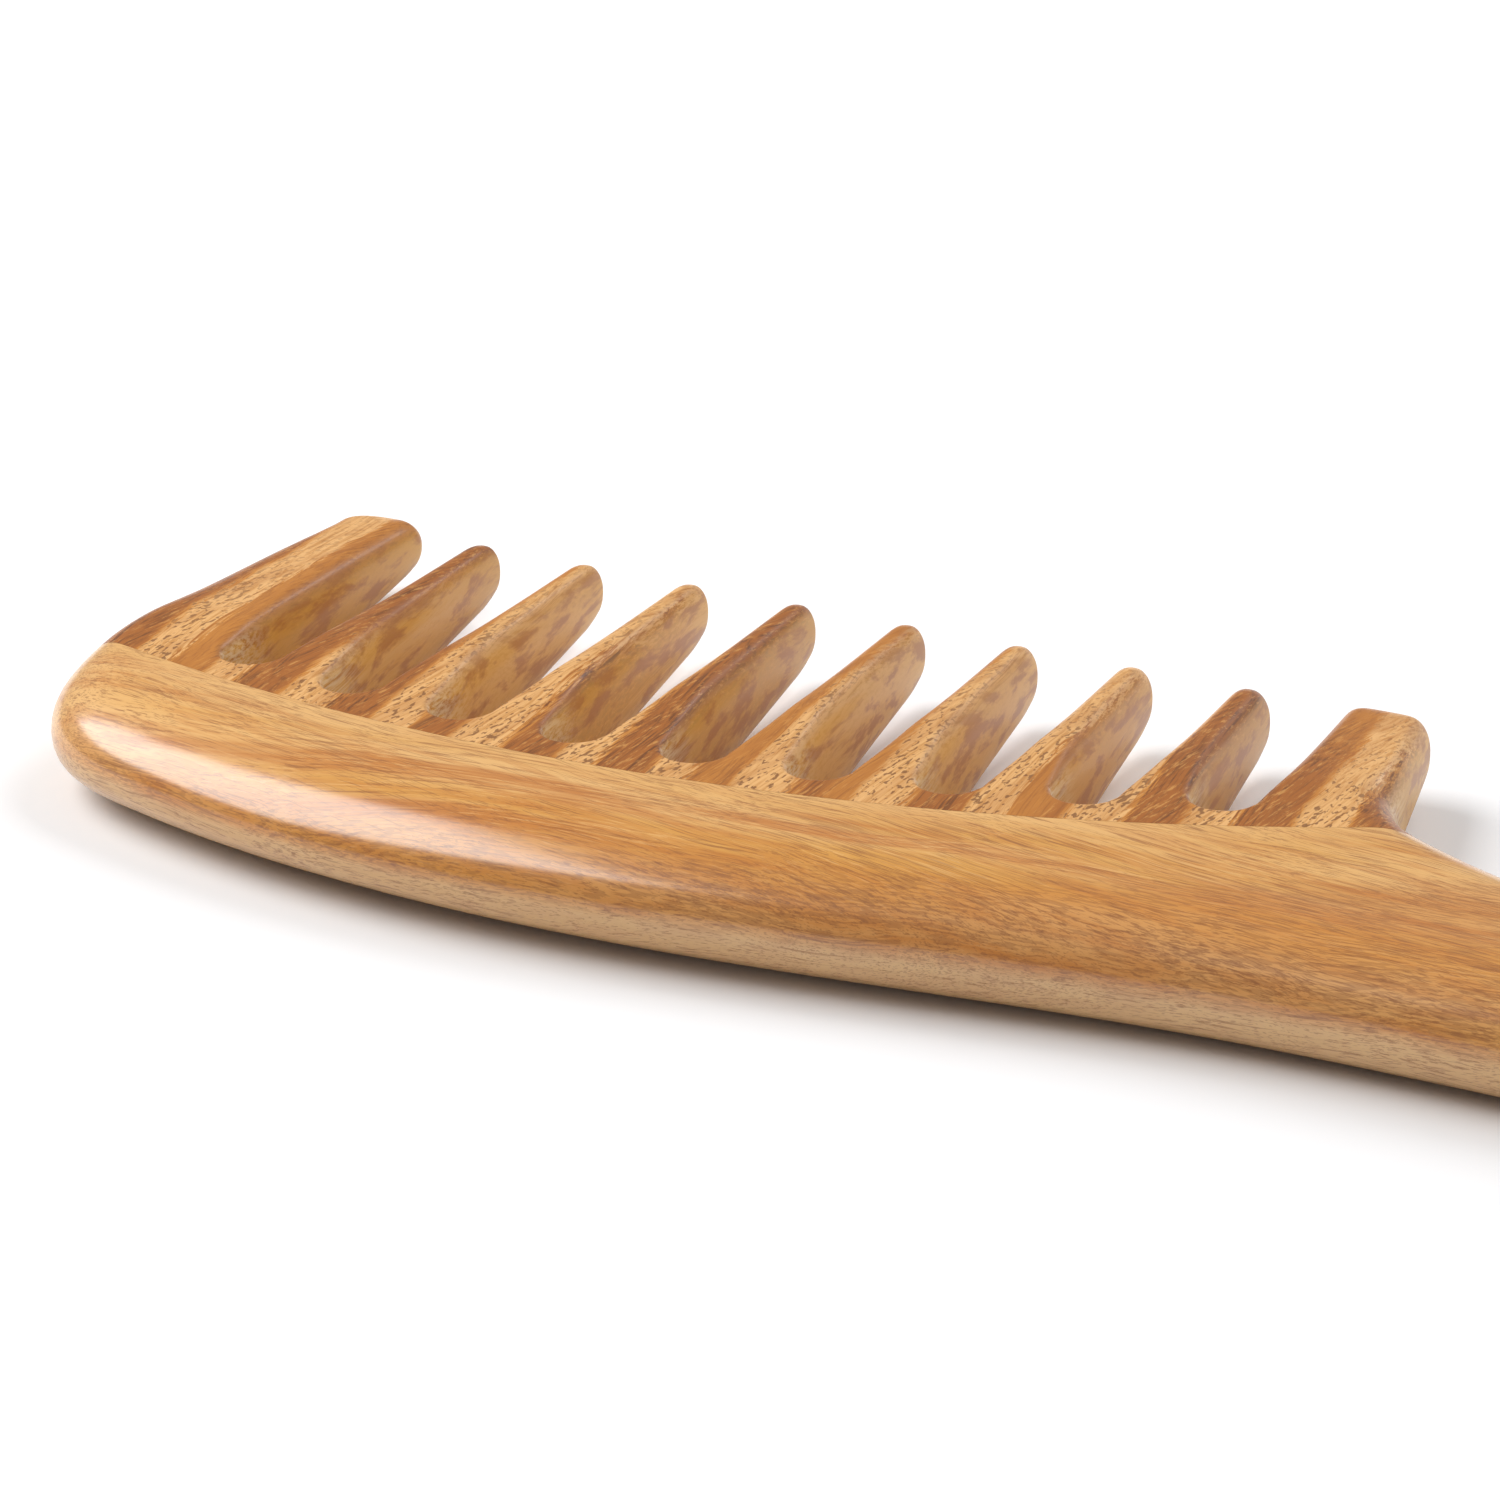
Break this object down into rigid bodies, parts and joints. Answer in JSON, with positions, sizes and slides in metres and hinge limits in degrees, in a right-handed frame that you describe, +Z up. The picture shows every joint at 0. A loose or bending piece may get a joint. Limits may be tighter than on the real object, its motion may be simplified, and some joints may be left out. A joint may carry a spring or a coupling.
{
  "type": "wide tooth comb",
  "caption": "Handled wooden comb: a one-piece spine and handle with a block of wide-set tapered teeth glued along an arc.",
  "frame": {"origin": "middle of the comb's box in X and Y, on the flat face that it lies on", "axes": "+X along the comb from the head to the handle, +Y from the back edge towards the tooth tips, +Z up through the thickness"},
  "size_m": [0.1898, 0.0622, 0.0085],
  "materials": {
    "spine_wood": "satin, hand-polished, golden to orange-brown long grain along the comb with fine dark pores",
    "block_wood": "satin, hand-polished, ribbon figure along the teeth: light tan ribbons with dark comma-shaped pores, feathering into red-brown streaky ones",
    "spline_wood": "sawn and unpolished, hidden inside the glue joint"
  },
  "bodies": {
    "root": {"spine_and_handle": "spine_wood", "toothed_block": "block_wood", "joint_spline": "spline_wood"}
  },
  "joints": []
}
